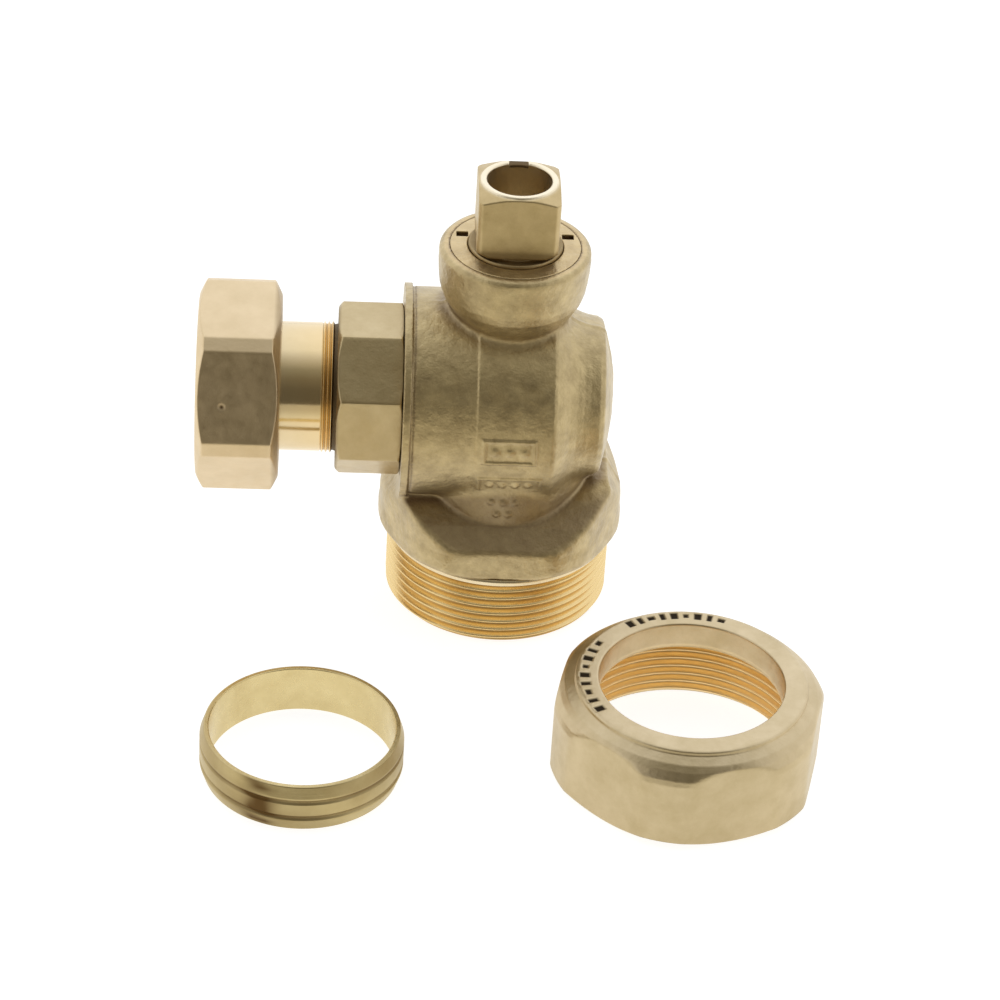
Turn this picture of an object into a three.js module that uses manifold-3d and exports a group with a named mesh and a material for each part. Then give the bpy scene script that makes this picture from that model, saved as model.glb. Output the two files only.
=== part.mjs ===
// Angle stop valve: a quarter-turn ball valve with a compression inlet for 28 mm tube below, a union
// outlet at the side and a square stem on top. Its compression nut and olive lie loose beside it.
// Millimetres, +Z up. Each piece is turned or extruded along its own +Z and then placed.
import * as THREE from 'three';
import { mergeVertices } from 'three/addons/utils/BufferGeometryUtils.js';
import Module from 'manifold-3d';

const wasm = await Module();
wasm.setup();

// Driving dimensions
const AXIS_HEIGHT = 36.3; // outlet axis above the inlet's end face
const OVERALL_HEIGHT = 75.1; // top of the square stem
const TUBE_RADIUS = 14.15; // bore for 28 mm tube
const FACE_GAP = 0.3; // between pieces that meet face to face
const SEAL_GAP = 0.1; // around rubber rings in their grooves
const ROUND_SIDES = 32; // facets round a turned piece
const RING_SIDES = 6; // facets round the section of a rubber ring
const BALL_ROWS = 12; // facets from pole to pole of the ball
const DOME_ROWS = 3; // facets from the edge to the middle of the dome
const SECTOR_SIDES = 12; // facets round a sector of a ring

// M36 x 1.5 thread of the inlet and of the compression nut
const M36 = { major: 17.95, minor: 17.08, pitch: 1.5 };
// G 3/4 thread inside the union nut, bored here to its mean radius
const G34 = { major: 13.22, minor: 12.06 };
const THREAD_PLAY = 0.15; // added to the radius of an inside thread
const THREAD_SIDES = 24;
const THREAD_ROWS = [[-0.09, 0], [0.09, 0], [0.4375, 1], [0.5625, 1]]; // along one pitch: place, height

// Valve body, forged in one piece, with heights above the inlet's end face
const INLET = { rim: 17.0, mouth: 15.3, mouthDepth: 2.4, threadTop: 11.2, socketDepth: 17.0, passage: 8.5 };
const COLLAR = {
  frontAcross: 35.4, sideAcross: 38.0, corner: 19.45, foot: 18.3, low: 12.2, full: 12.9, high: 15.8,
};
const NECK = { radius: 14.2, bottom: 20.2, top: 32.0 };
// Web that carries the collar up to the barrel: its outline along the outlet, and half of it across
const WEB = {
  alongOutlet: [
    [-20.0, 13.5], [-20.0, 18.3], [-16.55, 22.8], [12.0, 25.5], [16.7, 24.2], [20.0, 18.5], [20.0, 13.5],
  ],
  across: [[18.5, 13.5], [18.5, 16.4], [14.3, 20.1], [9.9, 22.7], [6.0, 24.2]],
  reach: 21.0,
};
const BARREL = { radius: 16.4, bandRadius: 16.55, bandFrom: -5.15, bandTo: 6.95 };
const BARREL_END = { radius: 13.3, from: 10.4, draftRadius: 12.5, to: 14.3 };
const BARREL_RIM = { radius: 16.9, left: -16.6, right: -15.4, grooveRadius: 16.1, grooveWidth: 0.5 };
const DOME = { crownRadius: 11.8, centreRadius: 37.6, right: 16.85 };
const CHAMBER = { radius: 11.9, right: 10.6, pocketRadius: 7.8, pocketRight: 12.2 };
const BOSS = {
  radius: 11.8, top: 63.4, draftRadius: 11.3, draftHeight: 55.4, footRadius: 7.3, footHeight: 49.5,
};
const BOSS_EDGE = 0.4; // chamfer round the top of the boss
const GLAND_BORE = { radius: 10.3, floor: 56.4 };
const STEM_BORE = 5.2;
// Stop lug in the gland bore, and where it stands round the stem, in degrees
const STEM_STOP = { inner: 8.6, low: 57.8, high: 59.4, angle: 24, centre: 90 };

// Stem, with heights above the inlet's end face
const STEM = {
  tangLength: 8.8, tangWidth: 4.2, tangLow: 45.2, journal: 4.9, journalLow: 50.0,
  shoulder: 9.7, shoulderLow: 57.8, shoulderHigh: 59.4, neck: 7.2, neckHigh: 64.0,
  square: 12.6, corner: 8.5, squareLow: 64.9, turnedRadius: 6.15, turnedLow: 73.7,
  holeRadius: 4.85, holeFloor: 65.5, notchWidth: 3.0, notchDepth: 0.4,
};
const STOP_TRAVEL = 90; // degrees from closed to open
const STOP_PLAY = 3; // degrees left at each end of the travel
const O_RING = { inner: 3.9, outer: 5.1, centres: [51.9, 54.6], grooveRadius: 3.8, grooveHalf: 0.75 };
const THRUST_WASHER = { inner: 5.3, outer: 9.7, low: 56.7, high: 57.5 };
const SLIP_WASHER = { inner: 7.6, outer: 9.7, low: 59.7, high: 60.3 };
const GLAND_RING = {
  inner: 7.6, outer: 10.0, low: 60.6, slotWidth: 1.4, slotFrom: 7.2, slotDepth: 1.3, slotBack: 2.9,
};

// Ball and seats, with distances from the ball's centre
const BALL = { radius: 11.2, port: 7.5, slotWidth: 4.9, slotDepth: 2.6 };
const SEAT = { port: 7.8, outer: 11.6, back: 10.3, front: 6.1, ballGap: 0.35 };
const SEAT_REBATE = { inner: 10.2, depth: 1.2 }; // at the back corner, for the ring behind the seat

// Outlet line, with distances from the valve's axis along the outlet
const CONNECTOR = {
  across: 25.5, chamfer: 0.6, near: 16.9, far: 26.9, spigot: 11.6, spigotEnd: 10.6,
  bore: 7.8, socket: 10.9, socketEnd: 17.9,
};
const BODY_SEAL = { inner: 11.75, outer: 13.4, grooveOuter: 13.6, grooveDepth: 1.9 };
const TAIL = {
  bore: 8.2, radius: 10.2, threadRadius: 10.45, threadFrom: 29.4, end: 19.5,
  flange: 11.7, flangeFrom: 39.3, flangeTo: 41.6, ridge: 0.8,
};
const TAIL_SEAL = { inner: 8.6, outer: 10.5, thickness: 1.0 };
const UNION_NUT = {
  across: 30.0, near: 35.8, far: 48.75, hole: 10.65, collar: 3.2, corner: 17.09, face: 14.4, chamfer: 1.25,
  turn: -6,  // degrees about the outlet's axis, which brings the top flat toward the front
};
const GASKET = { inner: 8.5, outer: 11.6, near: 41.9, far: 43.9 };

// Loose pieces, and where they lie from the valve's axis
const NUT = {
  across: 39.5, corner: 21.0, height: 16.0, face: 18.0, shoulder: 11.7, foot: 19.7, footHeight: 0.8,
  collar: 4.4, cone: 1.4,
};
const NUT_PLACE = { x: 28.05, y: -47.2, turn: THREE.MathUtils.degToRad(-13.6) };
const OLIVE = {
  height: 7.9, edge: 14.95, belly: 15.5, edgeHeight: 1.8, groove: 15.2, grooveHeights: [2.5, 5.4],
};
const OLIVE_PLACE = { x: -30.7, y: -50.6 };

// A closed geometry as a solid that can be joined and cut
function toSolid(geometry) {
  const bare = geometry.clone();
  bare.deleteAttribute('normal');
  bare.deleteAttribute('uv');
  const merged = mergeVertices(bare, 1e-4);
  return new wasm.Manifold(new wasm.Mesh({
    numProp: 3,
    vertProperties: merged.attributes.position.array,
    triVerts: new Uint32Array(merged.index.array),
  }));
}

function toGeometry(solid) {
  const mesh = solid.getMesh();
  const geometry = new THREE.BufferGeometry();
  geometry.setAttribute('position', new THREE.BufferAttribute(mesh.vertProperties, 3));
  geometry.setIndex(new THREE.BufferAttribute(mesh.triVerts, 1));
  geometry.computeVertexNormals();
  return geometry;
}

// Turned piece about +Z from [radius, height] pairs, counter-clockwise: up the outside, down the bore.
// A profile that starts off the axis closes on itself.
function turned(profile, sides = ROUND_SIDES) {
  const points = profile.map(([radius, height]) => new THREE.Vector2(radius, height));
  if (profile[0][0] > 0) points.push(points[0].clone());
  const geometry = new THREE.LatheGeometry(points, sides);
  geometry.rotateX(Math.PI / 2);
  return geometry;
}

function turnedSolid(profile, sides) {
  return toSolid(turned(profile, sides));
}

function alongX(geometry) {
  return geometry.rotateY(Math.PI / 2);
}

function cylinder(radius, low, high) {
  return turnedSolid([[0, low], [radius, low], [radius, high], [0, high]]);
}

function block(sizeX, sizeY, low, high, x = 0, y = 0) {
  const geometry = new THREE.BoxGeometry(sizeX, sizeY, high - low);
  geometry.translate(x, y, (low + high) / 2);
  return toSolid(geometry);
}

// Prism with a corner towards -Y, or a flat towards -Y when flatFront is set
function prism(sides, across, low, high, flatFront = false) {
  const corner = across / 2 / Math.cos(Math.PI / sides);
  const geometry = new THREE.CylinderGeometry(corner, corner, high - low, sides);
  geometry.rotateX(Math.PI / 2);
  if (flatFront) geometry.rotateZ(Math.PI / sides);
  geometry.translate(0, 0, (low + high) / 2);
  return toSolid(geometry);
}

// Sector of a ring about +Z, centred on an angle in degrees from +X
function sector(inner, outer, low, high, centre, angle) {
  const from = THREE.MathUtils.degToRad(centre - angle / 2);
  const to = THREE.MathUtils.degToRad(centre + angle / 2);
  const shape = new THREE.Shape();
  shape.absarc(0, 0, outer, from, to, false);
  shape.absarc(0, 0, inner, to, from, true);
  const geometry = new THREE.ExtrudeGeometry(shape, {
    depth: high - low, bevelEnabled: false, curveSegments: SECTOR_SIDES,
  });
  geometry.translate(0, 0, low);
  return toSolid(geometry);
}

// Rod with a screw thread, at least from low to high. Its rows climb one pitch in each turn, and a fan
// of triangles to a point on the axis closes each end.
function threadedRod(thread, low, high, play = 0) {
  const rowsPerTurn = THREAD_ROWS.length;
  const rows = Math.ceil((high - low) / thread.pitch + 2) * rowsPerTurn;
  const bottom = low - thread.pitch * 1.5;
  const depth = thread.major - thread.minor;
  const positions = [];
  const indexOf = new Map();
  function vertex(row, side) {
    if (side === THREAD_SIDES) return vertex(row + rowsPerTurn, 0);
    const key = row * THREAD_SIDES + side;
    if (!indexOf.has(key)) {
      const [place, height] = THREAD_ROWS[row % rowsPerTurn];
      const angle = (side / THREAD_SIDES) * 2 * Math.PI;
      const radius = thread.minor + depth * height + play;
      const climb = Math.floor(row / rowsPerTurn) + place + side / THREAD_SIDES;
      indexOf.set(key, positions.length / 3);
      positions.push(radius * Math.cos(angle), radius * Math.sin(angle), bottom + climb * thread.pitch);
    }
    return indexOf.get(key);
  }
  const triangles = [];
  for (let row = 0; row < rows; row++) {
    for (let side = 0; side < THREAD_SIDES; side++) {
      const [a, b] = [vertex(row, side), vertex(row, side + 1)];
      const [c, d] = [vertex(row + 1, side + 1), vertex(row + 1, side)];
      triangles.push(a, b, c, a, c, d);
    }
  }
  function closeEnd(row, height, upwards) {
    const loop = [];
    for (let side = 0; side < THREAD_SIDES; side++) loop.push(vertex(row, side));
    for (let step = rowsPerTurn; step > 0; step--) loop.push(vertex(row + step, 0));
    const centre = positions.length / 3;
    positions.push(0, 0, height);
    loop.forEach((here, i) => {
      const next = loop[(i + 1) % loop.length];
      triangles.push(centre, ...(upwards ? [here, next] : [next, here]));
    });
  }
  closeEnd(0, bottom - thread.pitch, false);
  closeEnd(rows, bottom + (rows / rowsPerTurn + 2) * thread.pitch, true);
  return new wasm.Manifold(new wasm.Mesh({
    numProp: 3,
    vertProperties: new Float32Array(positions),
    triVerts: new Uint32Array(triangles),
  }));
}

// Rubber ring of round section
function rubberRing(inner, outer, centre) {
  const half = (outer - inner) / 2;
  const geometry = new THREE.TorusGeometry(inner + half, half, RING_SIDES, ROUND_SIDES);
  geometry.translate(0, 0, centre);
  return toSolid(geometry);
}

function washer(inner, outer, low, high) {
  return turnedSolid([[inner, low], [outer, low], [outer, high], [inner, high]]);
}

function makeInletThread() {
  const { rim, threadTop } = INLET;
  const outside = turnedSolid([
    [0, 0], [rim, 0], [M36.major, M36.major - rim], [M36.major, threadTop + 1], [0, threadTop + 1],
  ]);
  return threadedRod(M36, 0, threadTop + 1).intersect(outside);
}

// Web under the barrel, whose shoulders fall away to the collar's front and back flats
function makeWeb() {
  const { alongOutlet, across, reach } = WEB;
  const lengthwise = alongOutlet.flatMap(([x, z]) => [[x, -reach, z], [x, reach, z]]);
  const crosswise = across.flatMap(([y, z]) => [
    [-reach, -y, z], [-reach, y, z], [reach, -y, z], [reach, y, z],
  ]);
  const bar = wasm.Manifold.hull(lengthwise).intersect(wasm.Manifold.hull(crosswise));
  return bar.intersect(cylinder(COLLAR.corner, COLLAR.full, NECK.top));
}

// Wrench collar: a hexagon with its corners turned off, its front and back flats the deepest. A plain
// band joins it to the thread below, and a cone closes in to the neck above.
function makeCollar() {
  const { frontAcross, sideAcross, corner, foot, low, full, high } = COLLAR;
  const outside = turnedSolid([
    [0, INLET.threadTop], [M36.major, INLET.threadTop], [M36.major, low], [foot, low], [corner, full],
    [corner, high], [NECK.radius, NECK.bottom], [NECK.radius, NECK.top], [0, NECK.top],
  ]);
  const hexagon = prism(6, sideAcross, INLET.threadTop - 1, NECK.top + 1, true);
  const flats = block(3 * corner, frontAcross, INLET.threadTop - 1, NECK.top + 1);
  return outside.add(makeWeb()).intersect(hexagon).intersect(flats);
}

// Barrel along the outlet axis: rim, band, a cone to the narrower closed end, and its shallow dome
function makeBarrel() {
  const { radius, bandRadius, bandFrom, bandTo } = BARREL;
  const rim = BARREL_RIM;
  const end = BARREL_END;
  const domeStart = Math.asin(DOME.crownRadius / DOME.centreRadius);
  const domeCentre = DOME.right - DOME.centreRadius;
  const dome = [];
  for (let step = 0; step <= DOME_ROWS; step++) {
    const angle = domeStart * (1 - step / DOME_ROWS);
    dome.push([DOME.centreRadius * Math.sin(angle), domeCentre + DOME.centreRadius * Math.cos(angle)]);
  }
  const profile = [
    [0, rim.left], [rim.radius, rim.left], [rim.radius, rim.right],
    [rim.grooveRadius, rim.right], [rim.grooveRadius, rim.right + rim.grooveWidth],
    [radius, rim.right + rim.grooveWidth], [radius, bandFrom], [bandRadius, bandFrom],
    [bandRadius, bandTo], [radius, bandTo], [end.radius, end.from], [end.draftRadius, end.to], ...dome,
  ];
  return toSolid(alongX(turned(profile)).translate(0, 0, AXIS_HEIGHT));
}

function makeBoss() {
  const { radius, top, draftRadius, draftHeight, footRadius, footHeight } = BOSS;
  return turnedSolid([
    [0, footHeight], [footRadius, footHeight], [draftRadius, draftHeight], [radius, top - BOSS_EDGE],
    [radius - BOSS_EDGE, top], [0, top],
  ]);
}

// Everything bored out of the forging
function makeBodyBores() {
  const { mouth, mouthDepth, socketDepth, passage } = INLET;
  const inlet = turnedSolid([
    [0, -1], [mouth, -1], [mouth, 0], [TUBE_RADIUS, mouthDepth], [TUBE_RADIUS, socketDepth],
    [passage, socketDepth + 0.8], [passage, AXIS_HEIGHT], [0, AXIS_HEIGHT],
  ]);
  const left = BARREL_RIM.left;
  const chamber = toSolid(alongX(turned([
    [0, left - 1], [BODY_SEAL.grooveOuter, left - 1], [BODY_SEAL.grooveOuter, left + BODY_SEAL.grooveDepth],
    [CHAMBER.radius, left + BODY_SEAL.grooveDepth], [CHAMBER.radius, CHAMBER.right],
    [CHAMBER.pocketRadius, CHAMBER.right], [CHAMBER.pocketRadius, CHAMBER.pocketRight],
    [0, CHAMBER.pocketRight],
  ])).translate(0, 0, AXIS_HEIGHT));
  const stemBore = cylinder(STEM_BORE, AXIS_HEIGHT, BOSS.top);
  const { inner, low, high, angle, centre } = STEM_STOP;
  const lug = sector(inner, GLAND_BORE.radius + 1, low, high, centre, angle);
  const glandBore = cylinder(GLAND_BORE.radius, GLAND_BORE.floor, BOSS.top + 1).subtract(lug);
  return inlet.add(chamber).add(stemBore).add(glandBore);
}

function makeValveBody() {
  const forging = makeBarrel().add(makeBoss()).add(makeCollar()).add(makeInletThread());
  return forging.subtract(makeBodyBores());
}

// Stem in its closed position. Its shoulder has a gap for the stop lug, which the travel sweeps through.
function makeStem() {
  const s = STEM;
  const grooves = O_RING.centres.flatMap((centre) => [
    [s.journal, centre - O_RING.grooveHalf], [O_RING.grooveRadius, centre - O_RING.grooveHalf],
    [O_RING.grooveRadius, centre + O_RING.grooveHalf], [s.journal, centre + O_RING.grooveHalf],
  ]);
  const shank = turnedSolid([
    [0, s.journalLow], [s.journal, s.journalLow], ...grooves, [s.journal, s.shoulderLow],
    [s.shoulder, s.shoulderLow], [s.shoulder, s.shoulderHigh], [s.neck, s.shoulderHigh],
    [s.neck, s.neckHigh], [0, s.neckHigh],
  ]);
  const gapAngle = STOP_TRAVEL + STEM_STOP.angle + 2 * STOP_PLAY;
  const gap = sector(
    STEM_STOP.inner - FACE_GAP, s.shoulder + 1, s.shoulderLow - 1, s.shoulderHigh + 1,
    STEM_STOP.centre - STOP_TRAVEL / 2, gapAngle,
  );
  const tang = block(s.tangLength, s.tangWidth, s.tangLow, s.journalLow + 1);
  const squareEnvelope = turnedSolid([
    [0, s.neckHigh - 1], [s.neck, s.neckHigh - 1], [s.neck, s.neckHigh], [s.corner, s.squareLow],
    [s.corner, s.turnedLow], [s.turnedRadius, OVERALL_HEIGHT], [0, OVERALL_HEIGHT],
  ]);
  const square = block(s.square, s.square, s.neckHigh - 1, OVERALL_HEIGHT + 1).intersect(squareEnvelope);
  const hole = cylinder(s.holeRadius, s.holeFloor, OVERALL_HEIGHT + 1);
  const notch = block(
    s.notchWidth, s.square, OVERALL_HEIGHT - s.notchDepth, OVERALL_HEIGHT + 1, 0, s.square / 2,
  );
  return shank.subtract(gap).add(tang).add(square).subtract(hole).subtract(notch);
}

function makeGlandRing() {
  const { inner, outer, low, slotWidth, slotFrom, slotDepth, slotBack } = GLAND_RING;
  const ring = washer(inner, outer, low, BOSS.top);
  const slotLow = BOSS.top - slotDepth;
  const slotLength = outer - slotFrom + 1;
  const slots = [-1, 1].map((side) => block(
    slotLength, slotWidth, slotLow, BOSS.top + 1, side * (slotFrom + slotLength / 2), slotBack,
  ));
  return ring.subtract(slots[0]).subtract(slots[1]);
}

// Ball with an L-shaped port: always open below, and sideways to +Y while the valve is closed
function makeBall() {
  const { radius, port, slotWidth, slotDepth } = BALL;
  const sphere = new THREE.SphereGeometry(radius, ROUND_SIDES, BALL_ROWS);
  sphere.rotateX(Math.PI / 2);
  const down = cylinder(port, -radius - 1, 0);
  const branch = turned([[0, 0], [port, 0], [port, radius + 1], [0, radius + 1]]);
  const sideways = toSolid(branch.rotateX(-Math.PI / 2));
  const elbow = toSolid(new THREE.SphereGeometry(port, ROUND_SIDES, BALL_ROWS));
  const slot = block(radius * 2 + 2, slotWidth, radius - slotDepth, radius + 1);
  return toSolid(sphere).subtract(down).subtract(sideways).subtract(elbow).subtract(slot);
}

// Seat ring, its hollow face towards the ball at the origin
function makeSeat() {
  const { port, outer, back, front, ballGap } = SEAT;
  const hollow = BALL.radius + ballGap;
  const lipAngle = Math.acos(front / hollow);
  const portAngle = Math.asin(port / hollow);
  const curve = [];
  for (let step = 0; step <= 3; step++) {
    const angle = portAngle + (lipAngle - portAngle) * (step / 3);
    curve.push([hollow * Math.sin(angle), hollow * Math.cos(angle)]);
  }
  return turnedSolid([
    ...curve, [outer, front], [outer, back - SEAT_REBATE.depth],
    [SEAT_REBATE.inner, back - SEAT_REBATE.depth], [SEAT_REBATE.inner, back], [port, back],
  ]);
}

function makeSeatRing() {
  const section = SEAT_REBATE.depth - 2 * SEAL_GAP;
  return rubberRing(SEAT.outer - section, SEAT.outer, SEAT.back - SEAL_GAP - section / 2);
}

function makeConnector() {
  const { across, chamfer, near, far, spigot, spigotEnd, bore, socket, socketEnd } = CONNECTOR;
  const corner = across / 2 / Math.cos(Math.PI / 8);
  const outside = turnedSolid([
    [0, near - 1], [corner - chamfer, near - 1], [corner - chamfer, near], [corner, near + chamfer],
    [corner, far - chamfer], [corner - 2 * chamfer, far], [0, far],
  ]);
  const grip = prism(8, across, near, far + 1, true).intersect(outside);
  const through = turnedSolid([
    [0, spigotEnd - 1], [bore, spigotEnd - 1], [bore, socketEnd], [socket, socketEnd], [socket, far + 1],
    [0, far + 1],
  ]);
  return grip.add(cylinder(spigot, spigotEnd, near + 1)).subtract(through);
}

function makeTail() {
  const { bore, radius, threadRadius, threadFrom, end, flange, flangeFrom, flangeTo, ridge } = TAIL;
  const ridges = [];
  for (let at = CONNECTOR.far + FACE_GAP; at + ridge < threadFrom; at += ridge) {
    ridges.push([threadRadius, at], [threadRadius, at + ridge / 2], [radius - 0.2, at + ridge / 2]);
    ridges.push([radius - 0.2, at + ridge]);
  }
  return turnedSolid([
    [bore, end], [radius, end], [radius, CONNECTOR.far + FACE_GAP], ...ridges, [radius, threadFrom],
    [radius, flangeFrom], [flange, flangeFrom], [flange, flangeTo], [bore, flangeTo],
  ]);
}

function makeUnionNut() {
  const { across, near, far, hole, collar, corner, face, chamfer, turn } = UNION_NUT;
  const outside = turnedSolid([
    [0, near], [face, near], [corner, near + chamfer], [corner, far - chamfer], [face, far], [0, far],
  ]);
  const seat = near + collar;
  const boreRadius = (G34.minor + G34.major) / 2;
  const room = turnedSolid([
    [0, near - 1], [hole, near - 1], [hole, seat], [boreRadius, seat], [boreRadius, far - 0.8],
    [G34.major, far], [G34.major, far + 1], [0, far + 1],
  ]);
  return prism(6, across, near, far).rotate([0, 0, turn]).intersect(outside).subtract(room);
}

// Compression nut as it lies, its thread opening down and its tube collar on top
function makeCompressionNut() {
  const { across, corner, height, face, shoulder, foot, footHeight, collar, cone } = NUT;
  const outside = turnedSolid([
    [0, 0], [foot, 0], [corner, footHeight], [corner, shoulder], [face, height], [0, height],
  ]);
  const collarLow = height - collar;
  const boreRadius = M36.minor + THREAD_PLAY;
  const room = turnedSolid([
    [0, -1], [M36.major + 0.2, -1], [M36.major + 0.2, 0], [boreRadius, 1.2], [boreRadius, collarLow - cone],
    [TUBE_RADIUS, collarLow], [TUBE_RADIUS, height + 1], [0, height + 1],
  ]);
  const threadSpace = cylinder(M36.major + 1, -1, collarLow - cone - 1);
  const thread = threadedRod(M36, -1, height, THREAD_PLAY).intersect(threadSpace);
  return prism(6, across, 0, height).intersect(outside).subtract(room).subtract(thread);
}

function makeOlive() {
  const { height, edge, belly, edgeHeight, groove, grooveHeights } = OLIVE;
  const grooves = grooveHeights.flatMap((at) => [[belly, at - 0.4], [groove, at], [belly, at + 0.4]]);
  return turnedSolid([
    [TUBE_RADIUS, 0], [edge, 0], [belly, edgeHeight], ...grooves, [belly, height - edgeHeight],
    [edge, height], [TUBE_RADIUS, height],
  ]);
}

// Materials
function finish(color, roughness, metalness) {
  return new THREE.MeshStandardMaterial({ color, roughness, metalness });
}
const forgedBrass = finish(0xa58d5c, 0.55, 0.9);
const turnedBrass = finish(0xd8b45a, 0.3, 1.0);
const satinBrass = finish(0xc0a878, 0.4, 0.95);
const chromedBall = finish(0xd5d6d8, 0.12, 1.0);
const whitePlastic = finish(0xf0efe9, 0.45, 0.0);
const blackRubber = finish(0x1a1a1b, 0.7, 0.0);
const greyFibre = finish(0x5b5f5c, 0.85, 0.0);

function piece(name, solid, material) {
  const mesh = new THREE.Mesh(toGeometry(solid), material);
  mesh.name = name;
  return mesh;
}

// Fixed pieces round the stem, in the valve's own frame
const fixed = new THREE.Group();
fixed.add(piece('valve_body', makeValveBody(), forgedBrass));
const { inner: thrustInner, outer: thrustOuter, low: thrustLow, high: thrustHigh } = THRUST_WASHER;
fixed.add(piece('thrust_washer', washer(thrustInner, thrustOuter, thrustLow, thrustHigh), whitePlastic));
const { inner: slipInner, outer: slipOuter, low: slipLow, high: slipHigh } = SLIP_WASHER;
fixed.add(piece('slip_washer', washer(slipInner, slipOuter, slipLow, slipHigh), whitePlastic));
fixed.add(piece('gland_ring', makeGlandRing(), forgedBrass));

// Pieces that turn together about the valve's vertical axis
const turning = new THREE.Group();
turning.add(piece('stem', makeStem(), satinBrass));
['stem_o_ring_lower', 'stem_o_ring_upper'].forEach((name, i) => {
  turning.add(piece(name, rubberRing(O_RING.inner, O_RING.outer, O_RING.centres[i]), blackRubber));
});
const ball = piece('ball', makeBall(), chromedBall);
ball.position.z = AXIS_HEIGHT;
turning.add(ball);

// Outlet line: its own +Z runs along the outlet, which is the valve's -X, and its +X is up
const outlet = new THREE.Group();
outlet.position.z = AXIS_HEIGHT;
outlet.rotation.y = -Math.PI / 2;
const seatRingNames = { outlet_seat: 'outlet_seat_ring', rear_seat: 'rear_seat_ring' };
for (const [name, turn] of [['outlet_seat', 0], ['rear_seat', Math.PI]]) {
  const seat = new THREE.Group();
  seat.rotation.x = turn;
  seat.add(piece(name, makeSeat(), whitePlastic));
  seat.add(piece(seatRingNames[name], makeSeatRing(), blackRubber));
  outlet.add(seat);
}
outlet.add(piece('end_connector', makeConnector(), satinBrass));
const bodySealCentre = -BARREL_RIM.left - BODY_SEAL.grooveDepth / 2;
const bodySeal = rubberRing(BODY_SEAL.inner, BODY_SEAL.outer, bodySealCentre);
outlet.add(piece('body_seal_ring', bodySeal, blackRubber));
outlet.add(piece('union_tail', makeTail(), turnedBrass));
const tailSealLow = CONNECTOR.socketEnd + FACE_GAP;
const tailSeal = washer(TAIL_SEAL.inner, TAIL_SEAL.outer, tailSealLow, tailSealLow + TAIL_SEAL.thickness);
outlet.add(piece('tail_seal', tailSeal, greyFibre));
outlet.add(piece('union_nut', makeUnionNut(), satinBrass));
outlet.add(piece('union_gasket', washer(GASKET.inner, GASKET.outer, GASKET.near, GASKET.far), blackRubber));

// Loose pieces
const compressionNut = piece('compression_nut', makeCompressionNut(), satinBrass);
compressionNut.position.set(NUT_PLACE.x, NUT_PLACE.y, 0);
compressionNut.rotation.z = NUT_PLACE.turn;
const olive = piece('olive', makeOlive(), turnedBrass);
olive.position.set(OLIVE_PLACE.x, OLIVE_PLACE.y, 0);

// The whole set, with its origin under the middle of its bounding box
const valve = new THREE.Group();
valve.add(fixed, turning, outlet, compressionNut, olive);
valve.updateMatrixWorld(true);
const middle = new THREE.Box3().setFromObject(valve, true).getCenter(new THREE.Vector3());
valve.position.set(-middle.x, -middle.y, 0);

export default valve;
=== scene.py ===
import math

import bpy
import numpy as np
from mathutils import Matrix, Vector


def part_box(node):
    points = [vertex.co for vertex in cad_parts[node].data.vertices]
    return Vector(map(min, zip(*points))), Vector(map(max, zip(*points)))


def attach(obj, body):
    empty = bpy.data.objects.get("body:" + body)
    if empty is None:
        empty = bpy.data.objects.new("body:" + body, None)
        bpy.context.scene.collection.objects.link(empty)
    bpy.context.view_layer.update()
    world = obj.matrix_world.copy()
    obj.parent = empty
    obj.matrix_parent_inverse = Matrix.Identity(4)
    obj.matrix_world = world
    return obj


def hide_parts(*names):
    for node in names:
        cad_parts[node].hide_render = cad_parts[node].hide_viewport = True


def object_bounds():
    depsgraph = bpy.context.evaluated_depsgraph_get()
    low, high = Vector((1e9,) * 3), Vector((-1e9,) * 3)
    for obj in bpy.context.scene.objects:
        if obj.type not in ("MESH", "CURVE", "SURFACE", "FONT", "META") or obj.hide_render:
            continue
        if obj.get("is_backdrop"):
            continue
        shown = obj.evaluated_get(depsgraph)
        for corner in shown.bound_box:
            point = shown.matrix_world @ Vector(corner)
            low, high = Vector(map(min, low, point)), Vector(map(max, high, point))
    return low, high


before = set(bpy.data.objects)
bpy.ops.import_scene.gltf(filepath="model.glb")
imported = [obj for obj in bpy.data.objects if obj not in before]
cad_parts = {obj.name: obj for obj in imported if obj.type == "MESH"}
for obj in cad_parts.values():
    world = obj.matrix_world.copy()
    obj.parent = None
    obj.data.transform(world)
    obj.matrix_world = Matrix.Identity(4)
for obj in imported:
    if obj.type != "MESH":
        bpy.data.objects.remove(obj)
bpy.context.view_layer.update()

# Lengths are in millimetres, in the valve's own frame: its vertical axis is the Z axis, and Z = 0 is
# the inlet's end face. place_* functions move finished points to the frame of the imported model.
MM = 0.001
FINE = 0.22  # grid step of the forged body's surface
STEM_STEP = 0.16
BALL_STEP = 0.4
SIDES = 192  # facets round a turned piece
FINE_SIDES = 720  # facets round a nut or a threaded piece

AXIS_HEIGHT = 36.3
OVERALL_HEIGHT = 75.1
TUBE_RADIUS = 14.15

M36 = {"major": 17.95, "minor": 17.08, "pitch": 1.5}
G34 = {"major": 13.22, "minor": 12.06, "pitch": 1.814}
ROOT_SHARE = 0.0975  # half the root's width, as a share of the pitch
FLANK_SHARE = 0.34


# ---------------------------------------------------------------- placing
def centre_of(node):
    low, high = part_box(node)
    return (low + high) / 2 / MM


VALVE_AXIS = centre_of("stem_o_ring_lower")
NUT_AXIS = centre_of("compression_nut")
OLIVE_AXIS = centre_of("olive")
NUT_TURN = math.radians(-13.6)
UNION_TURN = math.radians(-6)  # its top flat stands this far toward the front


def place_valve(points):
    return points + np.array([VALVE_AXIS.x, VALVE_AXIS.y, 0.0])


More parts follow.
